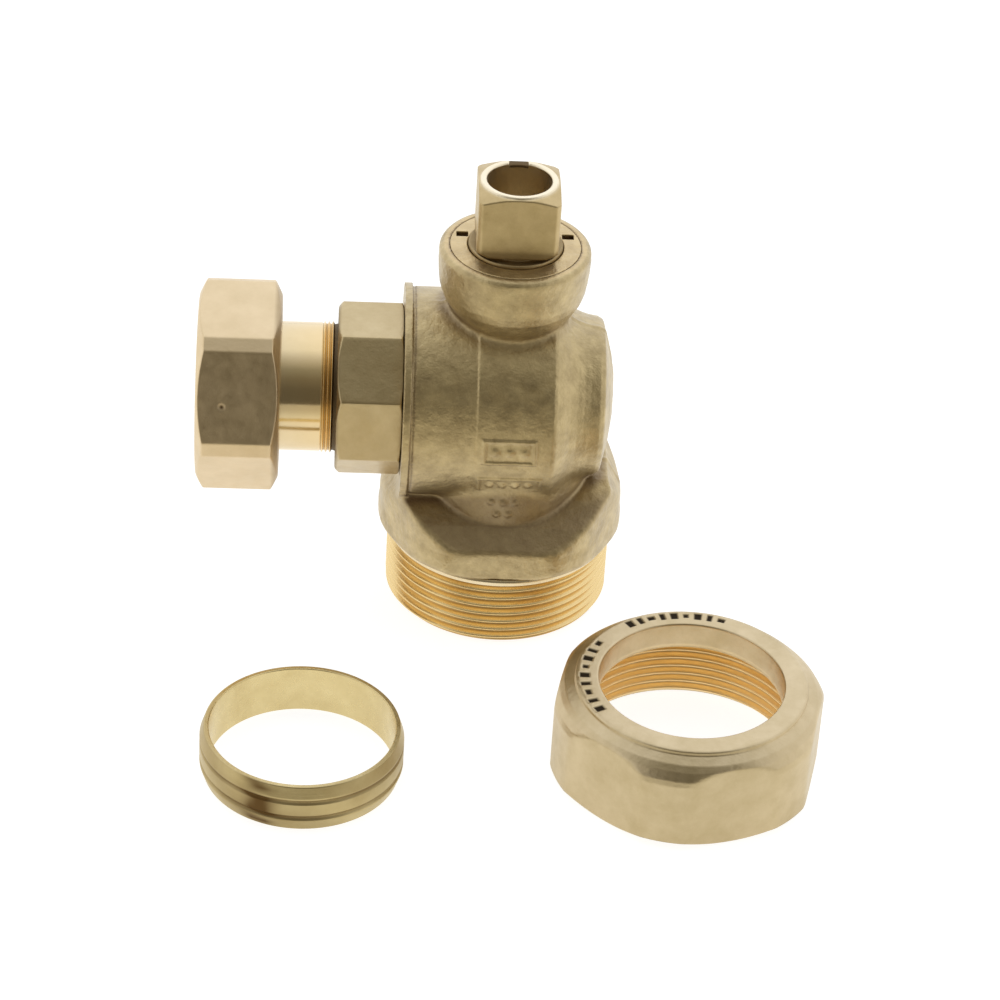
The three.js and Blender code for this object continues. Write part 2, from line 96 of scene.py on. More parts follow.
def place_outlet(points):
    """From the outlet's frame, whose +Z runs out along the outlet and whose +X is up."""
    x, y, z = points[..., 0], points[..., 1], points[..., 2]
    return place_valve(np.stack([-z, y, x + AXIS_HEIGHT], axis=-1))


def place_rear(points):
    """From the frame of the seat behind the ball, which faces the outlet."""
    x, y, z = points[..., 0], points[..., 1], points[..., 2]
    return place_valve(np.stack([z, y, x + AXIS_HEIGHT], axis=-1))


def place_nut(points):
    c, s = math.cos(NUT_TURN), math.sin(NUT_TURN)
    x, y, z = points[..., 0], points[..., 1], points[..., 2]
    turned = np.stack([x * c - y * s, x * s + y * c, z], axis=-1)
    return turned + np.array([NUT_AXIS.x, NUT_AXIS.y, 0.0])


def place_olive(points):
    return points + np.array([OLIVE_AXIS.x, OLIVE_AXIS.y, 0.0])


# ---------------------------------------------------------------- meshes
def make_object(name, points, quads, body, node, slot, material, marks=None):
    """Smooth mesh object from points in millimetres in the row frame, riding on a body."""
    mesh = bpy.data.meshes.new(name)
    mesh.vertices.add(len(points))
    mesh.vertices.foreach_set("co", (np.asarray(points) * MM).astype(np.float32).ravel())
    mesh.loops.add(quads.size)
    mesh.loops.foreach_set("vertex_index", quads.astype(np.int32).ravel())
    mesh.polygons.add(len(quads))
    mesh.polygons.foreach_set("loop_start", np.arange(0, quads.size, 4, dtype=np.int32))
    mesh.update(calc_edges=True)
    mesh.validate()
    mesh.polygons.foreach_set("use_smooth", np.ones(len(mesh.polygons), dtype=bool))
    for key, values in (marks or {}).items():
        data = mesh.attributes.new(key, "FLOAT", "POINT").data
        data.foreach_set("value", np.asarray(values, np.float32).ravel())
    mesh.materials.append(material)
    piece = bpy.data.objects.new(name, mesh)
    bpy.context.scene.collection.objects.link(piece)
    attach(piece, body)
    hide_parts(node)
    return piece


def ring_faces(rows, sides):
    """Quads of a grid of rows round an axis that closes on itself both ways."""
    row, side = np.meshgrid(np.arange(rows), np.arange(sides), indexing="ij")
    next_row, next_side = (row + 1) % rows, (side + 1) % sides
    corners = [
        row * sides + side, row * sides + next_side, next_row * sides + next_side, next_row * sides + side,
    ]
    return np.stack(corners, axis=-1).reshape(-1, 4)


def round_corners(profile, radius=0.15, steps=3, support=0.06):
    """Closed [radius, height] profile with its corners rounded, and a point just beside each round."""
    points = [np.array(p, float) for p in profile]
    result = []
    for i, here in enumerate(points):
        before, after = points[i - 1] - here, points[(i + 1) % len(points)] - here
        length_before, length_after = np.linalg.norm(before), np.linalg.norm(after)
        before, after = before / length_before, after / length_after
        half = math.acos(np.clip(before @ after, -1, 1)) / 2
        if half > math.radians(86):
            result.append(here)
            continue
        cut = min(radius / math.tan(half), 0.42 * length_before, 0.42 * length_after)
        arc = cut * math.tan(half)
        centre = here + (before + after) / np.linalg.norm(before + after) * (arc / math.sin(half))
        start, end = here + before * cut, here + after * cut
        if length_before > 4 * cut:
            result.append(start + before * min(support, cut))
        a, b = start - centre, end - centre
        turn = math.pi - 2 * half
        for step in range(steps + 1):
            share = step / steps
            blend = (math.sin((1 - share) * turn) * a + math.sin(share * turn) * b) / math.sin(turn)
            result.append(centre + blend)
        if length_after > 4 * cut:
            result.append(end + after * min(support, cut))
    return result


def spin(profile, sides=SIDES):
    """Points of a closed [radius, height] profile spun about Z: a grid of rows and sides."""
    profile = np.array(profile)
    angle = np.arange(sides) / sides * 2 * math.pi
    radius, height = profile[:, 0, None], profile[:, 1, None]
    return np.stack([radius * np.cos(angle), radius * np.sin(angle), height + 0 * angle], axis=-1)


def turned_piece(name, profile, place, *rest, radius=0.15, sides=SIDES):
    points = place(spin(round_corners(profile, radius), sides))
    quads = ring_faces(points.shape[0], points.shape[1])
    return make_object(name, points.reshape(-1, 3), quads, *rest)


def thread_height(turns):
    """Height of the thread from its root, 0 to 1, at a place counted in pitches from a root."""
    def bare(t):
        away = np.abs(t - np.round(t))
        return np.clip((away - ROOT_SHARE) / FLANK_SHARE, 0, 1)
    soft = 0.035
    return (bare(turns - soft) + 2 * bare(turns) + bare(turns + soft)) / 4


def soft_min(a, b, soft):
    gap = np.maximum(soft - np.abs(a - b), 0) / soft
    return np.minimum(a, b) - gap * gap * soft / 4


def soft_max(a, b, soft):
    return -soft_min(-a, -b, soft)


def polygon_radius(angle, sides, across, flat_at):
    """Distance from the axis to a regular polygon, one of whose flats faces the angle flat_at."""
    step = 2 * math.pi / sides
    off = (angle - flat_at + step / 2) % step - step / 2
    return across / 2 / np.cos(off)


def rows_between(start, end, step):
    """[radius, height] points from start to end, at most a step apart, without the end."""
    start, end = np.array(start, float), np.array(end, float)
    count = max(1, int(math.ceil(np.linalg.norm(end - start) / step)))
    return [start + (end - start) * i / count for i in range(count)]


# ---------------------------------------------------------------- distance fields
def segment_distance(u, v, points):
    """Signed distance to a closed polygon in the plane, negative inside."""
    nearest = np.full(u.shape, 1e9, np.float32)
    inside = np.zeros(u.shape, bool)
    for (ax, ay), (bx, by) in zip(points, points[1:] + points[:1]):
        ex, ey = bx - ax, by - ay
        du, dv = u - ax, v - ay
        t = np.clip((du * ex + dv * ey) / (ex * ex + ey * ey), 0, 1)
        nearest = np.minimum(nearest, (du - ex * t) ** 2 + (dv - ey * t) ** 2)
        if ay != by:
            inside ^= ((ay > v) != (by > v)) & (u < ex * (v - ay) / (by - ay) + ax)
    distance = np.sqrt(nearest)
    return np.where(inside, -distance, distance)


def slab(value, low, high):
    return np.maximum(low - value, value - high)


def surface(distance, low, high, step):
    """Vertices and quads of the surface where distance is 0, one vertex in each cell that it crosses,
    drawn onto the surface afterwards."""
    axes = [np.arange(a - 2 * step, b + 2 * step, step, dtype=np.float32) for a, b in zip(low, high)]
    values = np.empty([len(a) for a in axes], np.float32)
    for i in range(0, len(axes[0]), 12):
        x, y, z = np.meshgrid(axes[0][i:i + 12], axes[1], axes[2], indexing="ij")
        values[i:i + 12] = distance(x, y, z)
    inside = values < 0
    cells = [n - 1 for n in values.shape]

    def corner(array, i, j, k):
        return array[i:i + cells[0], j:j + cells[1], k:k + cells[2]]

    offsets = [(i, j, k) for i in (0, 1) for j in (0, 1) for k in (0, 1)]
    count = sum(corner(inside, *o).astype(np.int8) for o in offsets)
    cell = np.argwhere((count > 0) & (count < 8))
    number = np.full(cells, -1, np.int32)
    number[tuple(cell.T)] = np.arange(len(cell))
    total, hits = np.zeros((len(cell), 3)), np.zeros(len(cell))
    for o in offsets:
        for axis in range(3):
            if o[axis]:
                continue
            p = [0, 0, 0]
            p[axis] = 1
            a = values[tuple((cell + o).T)]
            b = values[tuple((cell + np.array(o) + p).T)]
            crossed = (a < 0) != (b < 0)
            t = np.where(crossed, a / np.where(crossed, a - b, 1), 0)
            point = np.array(o, float) + np.array(p) * t[:, None]
            total += np.where(crossed[:, None], point, 0)
            hits += crossed
    origin = np.array([a[0] for a in axes])
    points = origin + (cell + total / hits[:, None]) * step
    quads = []
    for axis in range(3):
        ahead = [slice(None)] * 3
        ahead[axis] = slice(1, None)
        behind = [slice(None)] * 3
        behind[axis] = slice(0, -1)
        first, second = inside[tuple(behind)], inside[tuple(ahead)]
        edge = np.argwhere(first != second)
        u, v = [np.eye(3, dtype=int)[a] for a in ((axis + 1) % 3, (axis + 2) % 3)]
        around = [edge - u - v, edge - v, edge, edge - u]
        quad = np.stack([number[tuple(a.T)] for a in around], axis=-1)
        leaving = first[tuple(edge.T)]
        quads.append(np.where(leaving[:, None], quad, quad[:, ::-1]))
    quads = np.concatenate(quads)
    for _ in range(3):
        points = draw_onto(distance, points, step)
    return points, quads


def draw_onto(distance, points, step):
    x, y, z = points.T
    here = distance(x, y, z)
    small = 0.02
    slope = np.stack([
        distance(x + small, y, z) - distance(x - small, y, z),
        distance(x, y + small, z) - distance(x, y - small, z),
        distance(x, y, z + small) - distance(x, y, z - small),
    ], axis=-1) / (2 * small)
    steep = np.maximum((slope ** 2).sum(axis=-1), 0.3)
    move = np.clip(here / steep, -step / 2, step / 2)
    return points - slope * move[:, None] * 0.9


# ---------------------------------------------------------------- the forged body
BARREL = [
    (-16.6, -5), (-16.6, 16.9), (-15.4, 16.9), (-15.4, 16.28), (-14.9, 16.28), (-14.9, 16.4), (-5.3, 16.4),
    (-5.0, 16.57), (6.7, 16.57), (7.2, 16.35), (8.3, 15.45), (9.4, 14.4), (10.5, 13.65), (11.6, 13.15),
    (12.6, 12.85), (14.1, 12.6), (14.8, 12.2), (15.0, 11.8), (16.0, 7.8),
    (16.6, 4.2), (16.82, 0), (16.82, -5),
]
BOSS = [
    (-5, 63.4), (10.9, 63.4), (11.4, 63.22), (11.72, 62.85), (11.8, 62.4), (11.6, 58.8), (11.35, 56.6),
    (10.9, 55.1), (10.1, 53.7), (8.9, 51.8), (7.6, 50.0), (7.0, 48), (7.0, 46), (-5, 46),
]
BODY_FOOT = 12.2
COLLAR = [
    (-5, BODY_FOOT), (18.1, BODY_FOOT), (18.5, 12.35), (19.25, 12.9), (19.42, 13.3), (19.42, 15.3),
    (19.2, 15.95), (14.2, 20.2), (14.2, 30.0), (-5, 30.0),
]
COLLAR_FRONT, COLLAR_SIDE, COLLAR_CORNER = 17.7, 19.0, 19.42
WEB_SIDE = [(-20, 13.5), (-20, 18.3), (-16.55, 22.8), (12.0, 25.5), (16.7, 24.2), (20, 18.5), (20, 13.5)]
WEB_ACROSS = [(-5, 13.5), (18.5, 13.5), (18.5, 16.4), (14.3, 20.1), (9.9, 22.7), (6.0, 24.2), (-5, 24.2)]
INLET_BORE = [
    (-5, 8), (TUBE_RADIUS, 8), (TUBE_RADIUS, 17.0), (8.5, 17.8), (8.5, AXIS_HEIGHT), (-5, AXIS_HEIGHT),
]
CHAMBER = [
    (-20, -5), (-20, 13.6), (-14.7, 13.6), (-14.7, 11.9), (10.6, 11.9), (10.6, 7.8), (12.2, 7.8), (12.2, -5),
]
STEM_BORE = [(-5, AXIS_HEIGHT), (5.2, AXIS_HEIGHT), (5.2, 56.4), (10.17, 56.4), (10.17, 66), (-5, 66)]
FLASH_HEIGHT, FLASH_WIDTH = 0.16, 0.45
COLLAR_BLEND, BOSS_BLEND = 0.9, 1.4
MARK_HEIGHT = 0.24
MARKED_BARREL, MARKED_NECK = 16.5, 14.2  # radii that the raised marks are laid out on
UNEVEN = 0.008


def frame_mark(u, v, width, height, line):
    """1 on the outline of a rectangle about the origin, falling to 0 off it."""
    off = np.abs(np.maximum(np.abs(u) - width / 2, np.abs(v) - height / 2))
    return np.clip(1.5 - off / line, 0, 1)


def bar_mark(u, v, width, height, soft=0.2):
    return np.clip(1 - np.maximum(np.abs(u) - width / 2, np.abs(v) - height / 2) / soft, 0, 1)


def pip_mark(u, v, radius):
    return np.clip(1.5 - np.hypot(u, v) / radius, 0, 1)


def body_marks(x, y, z):
    """Raised generic marks on the front: two frames of pips on the barrel, and pips on the neck."""
    front = y < -8
    arc = np.arctan2(z - AXIS_HEIGHT, -y) * MARKED_BARREL
    upper, lower = arc + 0.6, arc + 8.2
    mark = np.maximum(frame_mark(x - 0.1, upper, 7.9, 4.1, 0.28), frame_mark(x - 0.4, lower, 9.6, 3.6, 0.28))
    for column in (-1, 0, 1):
        mark = np.maximum(mark, pip_mark(x - 0.1 - 2.3 * column, upper, 0.62))
    for column in (-1.5, -0.5, 0.5, 1.5):
        mark = np.maximum(mark, pip_mark(x - 0.4 - 2.0 * column, lower, 0.5))
    neck_arc = np.arctan2(x, -y) * MARKED_NECK
    pips = 0 * x
    for column, height in ((-1, 24.7), (0, 24.7), (1, 24.7), (-0.5, 22.5), (0.5, 22.5)):
        pips = np.maximum(pips, pip_mark(neck_arc - 1.9 * column + 0.3, z - height, 0.5))
    on_neck = (z < 27) & (z > 20.4)
    return np.where(front, np.where(on_neck, pips, mark * (z > 26.5)), 0)


def body_distance(x, y, z):
    across = np.hypot(y, z - AXIS_HEIGHT)
    radius = np.hypot(x, y)
    barrel = segment_distance(x, across, BARREL)
    boss = segment_distance(radius, z, BOSS)
    turned = segment_distance(radius, z, COLLAR)
    side = soft_max(
        np.abs(x * math.cos(math.pi / 6) + y * math.sin(math.pi / 6)),
        np.abs(x * math.cos(math.pi / 6) - y * math.sin(math.pi / 6)), 0.4,
    ) - COLLAR_SIDE
    web = np.maximum(segment_distance(x, z, WEB_SIDE), segment_distance(np.abs(y), z, WEB_ACROSS))
    web = soft_max(web, radius - COLLAR_CORNER, 0.7)
    collar = soft_max(soft_max(soft_min(turned, web, 0.6), side, 0.6), np.abs(y) - COLLAR_FRONT, 0.6)
    forged = soft_min(soft_min(barrel, collar, COLLAR_BLEND), boss, BOSS_BLEND)
    flash = np.exp(-(y / FLASH_WIDTH) ** 2) * FLASH_HEIGHT * np.clip((x + 13) / 2, 0, 1)
    flash = flash * np.clip(62 - z, 0, 1) * np.clip(z - 19, 0, 1)
    forged = forged - flash - MARK_HEIGHT * body_marks(x, y, z)
    uneven = np.sin(2.3 * x + 1.1 * np.sin(1.7 * z)) * np.sin(2.6 * y + 0.9 * np.sin(2.1 * x))
    uneven += np.sin(2.9 * z + 1.3 * np.sin(1.9 * y)) * np.sin(1.4 * x + 0.8 * np.sin(2.7 * z))
    forged = forged + UNEVEN * uneven * np.clip((62.6 - z) / 0.6, 0, 1)
    forged = soft_max(forged, BODY_FOOT - z, 0.1)
    bores = np.minimum(segment_distance(radius, z, INLET_BORE), segment_distance(x, across, CHAMBER))
    bored = soft_max(forged, -bores, 0.25)
    bored = soft_max(bored, -segment_distance(radius, z, STEM_BORE), 0.06)
    lug = np.maximum(slab(radius, 8.6, 12), slab(z, 57.8, 59.4))
    lug = np.maximum(lug, np.maximum(np.abs(x) - np.abs(y) * math.tan(math.radians(12)), -y))
    return np.minimum(bored, np.maximum(lug, radius - 10.6))


def body_shade_and_oxide(x, y, z):
    """Painted shade with some brown oxide: darker in hollows of the surface, on the shelf under the barrel,
    and inside the stem bore.
    """
    reach = 1.6
    small = 0.05
    slope = np.stack([
        body_distance(x + small, y, z) - body_distance(x - small, y, z),
        body_distance(x, y + small, z) - body_distance(x, y - small, z),
        body_distance(x, y, z + small) - body_distance(x, y, z - small),
    ], axis=-1)
    slope /= np.maximum(np.linalg.norm(slope, axis=-1, keepdims=True), 1e-6)
    ahead = body_distance(x + reach * slope[:, 0], y + reach * slope[:, 1], z + reach * slope[:, 2])
    # hollow: how closely other surface lies ahead along the normal, an occlusion estimate used as painted
    # shade
    hollow = np.clip((reach - ahead) / reach * 1.6 - 0.15, 0, 1)
    # shelf: painted shade on the collar's shelf under the barrel, in the oxide's brown
    shelf = np.clip((z - 16.6) / 1.2, 0, 1) * np.clip((28.5 - z) / 3.0, 0, 1)
    facing = np.clip((-y - 7.0) / 4.0, 0, 1) + np.clip((y - 7.0) / 4.0, 0, 1)
    barrel = segment_distance(x, np.hypot(y, z - AXIS_HEIGHT), BARREL)
    shelf = shelf * facing * np.clip((19.3 - np.hypot(x, y)) / 0.8, 0, 1)
    shelf = shelf * np.clip((barrel - 0.3) / 0.8, 0, 1)
    # inside the stem bore the surface is darkened as painted shade
    inside = (np.hypot(x, y) < 10.4) & (z > 56)
    return np.where(inside, 0.6, np.clip(0.62 * hollow + 0.52 * shelf, 0, 1))


def make_body(material):
    low, high = (-19.6, -19.6, BODY_FOOT), (19.6, 19.6, 63.6)
    points, quads = surface(body_distance, low, high, FINE)
    x, y, z = points.T
    marks = {"stain_and_shade": body_shade_and_oxide(x, y, z), "cut": np.clip((z - 63.3) * 20, 0, 1) * 0.35}
    rest = ("valve", "valve_body", "forged_brass", material)
    return make_object("body_forging", place_valve(points), quads, *rest, marks=marks)


def make_inlet_thread(material):
    """The threaded end below the forging, with the smooth band above its thread."""
    top, thread_top, rim, mouth = BODY_FOOT + 0.1, 11.0, 17.0, 15.3
    outer = rows_between((rim, 0), (M36["major"], top), 0.09)
    inner = round_corners([(TUBE_RADIUS, top), (TUBE_RADIUS, 2.4), (mouth, 0.15), (mouth + 0.15, 0)], 0.1)
    angle = np.arange(FINE_SIDES) / FINE_SIDES * 2 * math.pi
    rows = []
    for _, z in outer:
        turns = z / M36["pitch"] - angle / (2 * math.pi) + 0.45
        depth = M36["major"] - M36["minor"]
        height = np.maximum(thread_height(turns), np.clip((z - thread_top) / 0.5 + 0.5, 0, 1))
        radius = M36["minor"] + depth * height
        radius = soft_min(soft_min(radius, rim + z, 0.15), M36["major"] + 0.88 * (11.9 - z), 0.1)
        rows.append(np.stack([radius * np.cos(angle), radius * np.sin(angle), z + 0 * angle], axis=-1))
    rows += list(spin(inner, FINE_SIDES))
    rest = ("valve", "valve_body", "turned_brass", material)
    return closed_grid("inlet_thread", rows, place_valve, *rest, marks={
        "cut": lambda r, a, z: np.clip((11.3 - z) / 0.4, 0, 1),
        # the thread's roots are darkened as painted shade
        "stain_and_shade": lambda r, a, z: 0.55 * np.clip((17.5 - r) / 0.4, 0, 1) * (z < 11.5),
    })


# ---------------------------------------------------------------- stem, gland ring and ball
STEM = [
    (-5, 50.0), (4.9, 50.0), (4.9, 51.15), (3.8, 51.15), (3.8, 52.65), (4.9, 52.65), (4.9, 53.85),
    (3.8, 53.85), (3.8, 55.35), (4.9, 55.35), (4.9, 57.8), (9.7, 57.8), (9.7, 59.4), (7.35, 59.4),
    (7.35, 63.7), (7.2, 63.9), (-5, 63.9),
]
SQUARE = [
    (-5, 62), (5.9, 62), (5.9, 64.3), (7.6, 64.5), (8.4, 65.2), (8.45, 65.8), (8.45, 73.9), (6.4, 74.75),
    (6.0, 74.8), (-5, 74.8),
]
TOP_RING = [(-5, 70), (6.0, 70), (6.0, 74.9), (5.85, 75.1), (-5, 75.1)]
SQUARE_HALF = 6.3
STEM_HOLE = [(-5, 65.5), (4.85, 65.5), (5.0, 66.0), (5.0, 74.9), (5.2, 75.1), (5.2, 77), (-5, 77)]


def stem_distance(x, y, z):
    radius = np.hypot(x, y)
    shank = segment_distance(radius, z, STEM)
    gap_angle = np.degrees(np.arctan2(y, x)) - 45.0
    away = np.abs((gap_angle + 180) % 360 - 180) - 60.0
    gap = np.maximum(np.maximum(away * math.radians(1) * radius, 8.3 - radius), slab(z, 57.0, 60.2))
    shank = np.maximum(shank, -gap)
    tang = np.maximum(slab(z, 45.2, 51.0), np.maximum(np.abs(x) - 4.4, np.abs(y) - 2.1))
    flats = soft_max(np.abs(x), np.abs(y), 0.7) - SQUARE_HALF
    square = soft_max(segment_distance(radius, z, SQUARE), flats, 0.2)
    square = np.minimum(square, segment_distance(radius, z, TOP_RING))
    body = np.minimum(np.minimum(shank, tang), square)
    hole = segment_distance(radius, z, STEM_HOLE)
    notch = np.maximum(np.maximum(np.abs(x) - 1.5, OVERALL_HEIGHT - 0.4 - z), -y)
    return soft_max(soft_max(body, -hole, 0.12), -notch, 0.1)


def make_stem(material):
    points, quads = surface(stem_distance, (-9.8, -9.8, 45.0), (9.8, 9.8, 75.2), STEM_STEP)
    x, y, z = points.T
    radius = np.hypot(x, y)
    notch = (np.abs(x) < 1.5) & (y > 4) & (z > 74.3)
    # the inside of the hole takes the pale cut colour: bare drilled metal, lightened as a painted reflection
    hole = np.clip((5.1 - radius) * 4, 0, 1) * (z > 65) * np.clip((74.9 - z) * 2, 0, 1)
    # the neck under the square is darkened as painted shade; the notch above is given a dark colour
    neck = np.clip((66.0 - z) / 0.6, 0, 1) * (z > 59.5)
    ring = np.clip((z - 74.75) * 6, 0, 1) * (radius > 4.9) * ~notch
    marks = {"stain_and_shade": np.clip(0.9 * notch + 0.4 * neck, 0, 1), "cut": np.maximum(ring, hole)}
    rest = ("stem_and_ball", "stem", "satin_brass", material)
    return make_object("stem_square", place_valve(points), quads, *rest, marks=marks)


GLAND = [(7.45, 60.6), (10.14, 60.6), (10.14, 63.36), (10.1, 63.4), (7.55, 63.4), (7.45, 63.3)]


def gland_distance(x, y, z):
    ring = segment_distance(np.hypot(x, y), z, GLAND)
    slot = np.maximum(np.maximum(np.abs(y - 2.9) - 0.7, slab(np.abs(x), 7.3, 9.1)), 62.1 - z)
    return soft_max(ring, -slot, 0.1)


def make_gland_ring(material):
    points, quads = surface(gland_distance, (-10.2, -10.2, 60.5), (10.2, 10.2, 63.5), 0.13)
    x, y, z = points.T
    # the spanner slots are darkened as painted shade
    slot = np.clip((63.3 - z) * 4, 0, 1) * (np.abs(y - 2.9) < 0.78) * (np.abs(x) < 9.15)
    marks = {"stain_and_shade": 0.85 * slot, "cut": 0.35 * np.clip((z - 63.3) * 20, 0, 1)}
    rest = ("valve", "gland_ring", "forged_brass", material)
    return make_object("gland_ring_fine", place_valve(points), quads, *rest, marks=marks)


def ball_distance(x, y, z):
    height = z - AXIS_HEIGHT
    sphere = np.sqrt(x * x + y * y + height * height) - 11.2
    down = np.maximum(np.hypot(x, y) - 7.5, height)
    sideways = np.maximum(np.hypot(x, height) - 7.5, -y)
    elbow = np.sqrt(x * x + y * y + height * height) - 7.5
    slot = np.maximum(np.abs(y) - 2.45, 8.6 - height)
    bores = np.minimum(np.minimum(down, sideways), np.minimum(elbow, slot))
    return soft_max(sphere, -bores, 0.3)


def make_ball(material):
    low, high = (-11.3, -11.3, AXIS_HEIGHT - 11.3), (11.3, 11.3, AXIS_HEIGHT + 11.3)
    points, quads = surface(ball_distance, low, high, BALL_STEP)
    rest = ("stem_and_ball", "ball", "chromed_brass", material)
    return make_object("ball_fine", place_valve(points), quads, *rest)


# ---------------------------------------------------------------- outlet line
def polygon_rows(profile, sides, across, flat_at, step, soft, dimple=None, corners=None):
    """Rows of a polygonal bar turned to a [radius, height] profile, which runs up its outside. Its
    corners may be flattened to a width across them."""
    angle = np.arange(FINE_SIDES) / FINE_SIDES * 2 * math.pi
    flats = polygon_radius(angle, sides, across, flat_at)
    if corners:
        flats = soft_min(flats, polygon_radius(angle, sides, corners, flat_at + math.pi / sides), 0.12)
    rows = []
    for start, end in zip(profile, profile[1:]):
        for limit, z in rows_between(start, end, step):
            radius = soft_min(flats, limit + 0 * angle, soft)
            if dimple is not None:
                radius = radius - dimple(angle, z)
            rows.append(np.stack([radius * np.cos(angle), radius * np.sin(angle), z + 0 * angle], axis=-1))
    return rows


def thread_rows(thread, from_z, to_z, step, play=0.0, lead=0.3):
    """Rows down an inside thread, from from_z to to_z."""
    angle = np.arange(FINE_SIDES) / FINE_SIDES * 2 * math.pi
    rows = []
    for z in np.arange(from_z, to_z, -step):
        turns = z / thread["pitch"] - angle / (2 * math.pi)
        depth = thread["major"] - thread["minor"]
        fade = np.clip((from_z - z) / lead, 0, 1)
        radius = thread["minor"] + play + depth * (1 - thread_height(turns)) * fade
        rows.append(np.stack([radius * np.cos(angle), radius * np.sin(angle), z + 0 * angle], axis=-1))
    return rows


def closed_grid(name, rows, place, *rest, marks=None):
    """Object from rows round an axis; marks are functions of a point's radius, angle and height."""
    rows = np.array(rows)
    radius, angle = np.hypot(rows[..., 0], rows[..., 1]), np.arctan2(rows[..., 1], rows[..., 0])
    marks = {key: mark(radius, angle, rows[..., 2]) for key, mark in (marks or {}).items()}
    points = place(rows)
    quads = ring_faces(points.shape[0], points.shape[1])
    return make_object(name, points.reshape(-1, 3), quads, *rest, marks=marks)


def make_union_nut(material):
    near, far, corner, across = 35.8, 48.75, 17.09, 30.0
    seat, hole = near + 3.2, 10.65
    outside = [
        (12.2, near), (14.3, near), (14.6, near + 0.1), (corner + 0.05, near + 1.35),
        (corner + 0.05, far - 1.35), (14.6, far - 0.1), (14.3, far), (G34["major"] + 0.3, far),
    ]

    def punch_dot(angle, z, spread):
        turn = (angle + math.pi / 3 - UNION_TURN + math.pi) % (2 * math.pi) - math.pi
        return np.exp(-((turn * 14.8 + 1.4) ** 2 + (z - 44.6) ** 2) / spread)

    def dimple(angle, z):
        return 0.35 * punch_dot(angle, z, 0.12)

    def stain_and_shade(radius, angle, z):
        # the punch mark is a real dark dot; the band at the end facing the valve is darkened as painted
        # shade
        return punch_dot(angle, z, 0.22) + 0.35 * np.clip((near + 1.2 - z) / 0.6, 0, 1)

    rows = polygon_rows(outside, 6, across, UNION_TURN, 0.22, 0.35, dimple, 33.2)
    rows += spin_list([(G34["major"] + 0.15, far - 0.1)])
    rows += thread_rows(G34, far - 0.6, seat + 1.6, 0.12)
    rows += spin_list(rows_between((G34["major"], seat + 1.5), (G34["major"], seat), 0.5))
    rows += spin_list([
        (G34["major"], seat + 0.02), (hole + 0.2, seat), (hole, seat - 0.2), (hole, near + 0.3),
        (hole + 0.3, near),
    ])
    rest = ("union_nut", "union_nut", "satin_brass", material)
    return closed_grid("union_nut_fine", rows, place_outlet, *rest, marks={"stain_and_shade": stain_and_shade})


def spin_list(profile):
    return list(spin(profile, FINE_SIDES))


def make_connector(material):
    near, far, across = 16.65, 26.9, 25.5
    corner = across / 2 / math.cos(math.pi / 8)
    outside = [
        (11.8, near), (13.2, near), (corner + 0.1, near + 0.25), (corner + 0.1, far - 0.75),
        (12.9, far - 0.1), (12.6, far), (11.1, far),
    ]
    rows = polygon_rows(outside, 8, across, 0.0, 0.25, 0.3)
    rows += spin_list(round_corners([
        (10.9, far - 0.2), (10.9, 17.9), (7.8, 17.9), (7.8, 10.6), (11.6, 10.6), (11.6, near - 0.1),
    ], 0.15)[1:-1])

    def stain_and_shade(radius, angle, z):
        # both end faces, where the body and the tail meet it, are darkened as painted shade
        return 0.5 * np.clip((z - far + 0.5) / 0.5, 0, 1) + 0.4 * np.clip((near + 0.3 - z) / 0.2, 0, 1)

    rest = ("valve", "end_connector", "satin_brass", material)
    return closed_grid("end_connector_fine", rows, place_outlet, *rest, marks={"stain_and_shade": stain_and_shade})


def make_tail(material):
    low, ridge_from, ridge_to = 19.5, 27.4, 29.3
    outside = [np.array([10.2, low]), *rows_between((10.2, low + 0.2), (10.2, ridge_from), 1.0)]
    angle = np.arange(FINE_SIDES) / FINE_SIDES * 2 * math.pi
    rows = spin_list([(8.4, low), (10.0, low), *outside[1:]])
    for z in np.arange(ridge_from, ridge_to, 0.06):
        wave = 0.5 - 0.5 * np.cos(2 * math.pi * (z - ridge_from) / 0.64)
        radius = 9.95 + 0.5 * wave + 0 * angle
        rows.append(np.stack([radius * np.cos(angle), radius * np.sin(angle), z + 0 * angle], axis=-1))
    rows += spin_list(round_corners([
        (10.2, ridge_to + 0.1), (10.2, 39.3), (11.7, 39.3), (11.7, 41.6), (8.2, 41.6), (8.2, low + 0.2),
    ], 0.15)[1:-1])

    def cut(radius, angle, z):
        return np.clip((z - ridge_from) * 3, 0, 1) * np.clip((ridge_to + 0.3 - z) * 3, 0, 1)

    def stain_and_shade(radius, angle, z):
        # painted shade in the grooves between the ridges and where the tail goes into the connector
        groove = 0.5 * np.clip((10.15 - radius) * 5, 0, 1) * (z < ridge_to)
        return 0.8 * np.clip((27.6 - z) / 0.5, 0, 1) + groove

    rest = ("valve", "union_tail", "turned_brass", material)
    return closed_grid("union_tail_fine", rows, place_outlet, *rest, marks={"cut": cut, "stain_and_shade": stain_and_shade})


# ---------------------------------------------------------------- loose pieces
STAMP_RADIUS, STAMP_DEPTH = 16.3, 0.14


def nut_stamps(angle, radius):
    """Short stamped dashes and dots on the nut's end face, at its back and at its left."""
    mark = 0 * angle
    arc = angle * STAMP_RADIUS
    for middle, half in ((96.0, 26.0), (178.0, 30.0)):
        start = math.radians(middle - half)
        for i in range(9):
            place = (start + math.radians(2 * half) * i / 8) * STAMP_RADIUS
            width = 0.55 if i % 2 else 0.9
            height = 0.9 if i % 3 else 0.45
            stamp = bar_mark(arc - place, radius - STAMP_RADIUS, width, 2 * height * 0.7, 0.25)
            mark = np.maximum(mark, stamp)
    return mark


